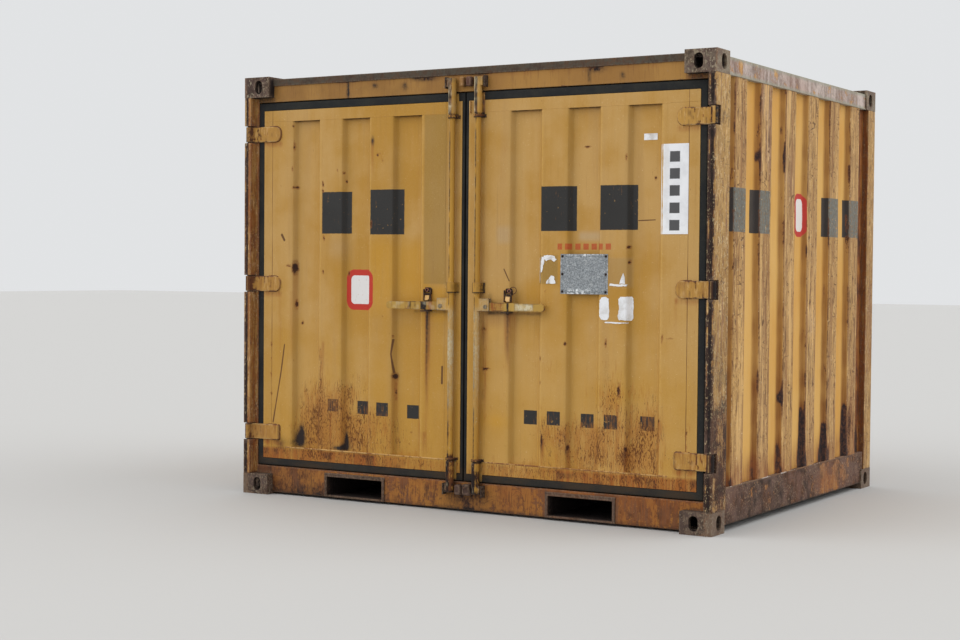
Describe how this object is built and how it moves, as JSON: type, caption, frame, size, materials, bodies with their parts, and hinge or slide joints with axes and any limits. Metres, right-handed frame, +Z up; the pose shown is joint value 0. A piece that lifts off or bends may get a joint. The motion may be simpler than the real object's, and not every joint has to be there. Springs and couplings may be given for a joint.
{
  "type": "shipping container",
  "caption": "Ten-foot steel shipping container with two hinged doors in a long side, lock rods, swivelling handles and fork pockets.",
  "frame": {"origin": "middle of the footprint, on the ground under the corner fittings", "axes": "+X along the door side, doors face -Y, +Z up"},
  "size_m": [2.991, 2.4409, 2.438],
  "materials": {
    "fitting_steel": "rusted, remains of paint",
    "post_paint": "heavily rusted paint",
    "frame_paint": "weathered yellow paint with rust",
    "wall_paint": "weathered yellow paint, scraped",
    "door_paint": "weathered yellow paint",
    "gear_paint": "yellow paint, rusty edges",
    "roof_paint": "weathered paint",
    "seal_rubber": "aged black rubber",
    "bare_steel": "rusted bare steel",
    "plate_steel": "galvanised, dented",
    "floor_wood": "worn plywood"
  },
  "bodies": {
    "container": {"corner_fittings_top": "fitting_steel", "corner_fittings_bottom": "fitting_steel", "front_left_post": "post_paint", "front_right_post": "post_paint", "rear_left_post": "post_paint", "rear_right_post": "post_paint", "door_header": "frame_paint", "door_sill": "frame_paint", "rear_top_rail": "frame_paint", "rear_bottom_rail": "frame_paint", "left_top_rail": "frame_paint", "right_top_rail": "frame_paint", "left_bottom_rail": "frame_paint", "right_bottom_rail": "frame_paint", "left_wall": "wall_paint", "right_wall": "wall_paint", "rear_wall": "wall_paint", "roof_panel": "roof_paint", "floor_boards": "floor_wood", "cross_members": "bare_steel", "fork_pockets": "frame_paint", "hinge_pins": "bare_steel", "top_keepers": "bare_steel", "bottom_keepers": "bare_steel"},
    "left_door": {"left_door_frame": "door_paint", "left_door_panel": "door_paint", "left_door_gasket": "seal_rubber", "left_door_hinges": "gear_paint", "left_rod_guides": "gear_paint", "left_handle_catch": "gear_paint"},
    "right_door": {"right_door_frame": "door_paint", "right_door_panel": "door_paint", "right_door_gasket": "seal_rubber", "right_door_hinges": "gear_paint", "right_rod_guides": "gear_paint", "right_handle_catch": "gear_paint", "right_door_plate": "plate_steel"},
    "left_rod": {"left_lock_rod": "gear_paint"},
    "right_rod": {"right_lock_rod": "gear_paint"},
    "left_handle_bar": {"left_handle": "gear_paint"},
    "right_handle_bar": {"right_handle": "gear_paint"},
    "left_catch": {"left_catch_flap": "gear_paint"},
    "right_catch": {"right_catch_flap": "gear_paint"}
  },
  "joints": [
    {"name": "left_door_hinge", "type": "hinge", "parent": "container", "child": "left_door", "pos_m": [-1.4755, -1.199, 1.2], "axis": [0, 0, 1], "range_deg": [-260, 0]},
    {"name": "right_door_hinge", "type": "hinge", "parent": "container", "child": "right_door", "pos_m": [1.4755, -1.199, 1.2], "axis": [0, 0, 1], "range_deg": [0, 260]},
    {"name": "left_rod_turn", "type": "hinge", "parent": "left_door", "child": "left_rod", "pos_m": [-0.068, -1.198, 1.2], "axis": [0, 0, 1], "range_deg": [0, 95]},
    {"name": "right_rod_turn", "type": "hinge", "parent": "right_door", "child": "right_rod", "pos_m": [0.097, -1.198, 1.2], "axis": [0, 0, 1], "range_deg": [-95, 0]},
    {"name": "left_handle_lift", "type": "hinge", "parent": "left_rod", "child": "left_handle_bar", "pos_m": [-0.13, -1.198, 1.127], "axis": [0, 1, 0], "range_deg": [0, 15]},
    {"name": "right_handle_lift", "type": "hinge", "parent": "right_rod", "child": "right_handle_bar", "pos_m": [0.159, -1.198, 1.127], "axis": [0, 1, 0], "range_deg": [-15, 0]},
    {"name": "left_catch_turn", "type": "hinge", "parent": "left_door", "child": "left_catch", "pos_m": [-0.234, -1.179, 1.19], "axis": [-1, 0, 0], "range_deg": [0, 110]},
    {"name": "right_catch_turn", "type": "hinge", "parent": "right_door", "child": "right_catch", "pos_m": [0.282, -1.179, 1.19], "axis": [1, 0, 0], "range_deg": [-110, 0]}
  ]
}
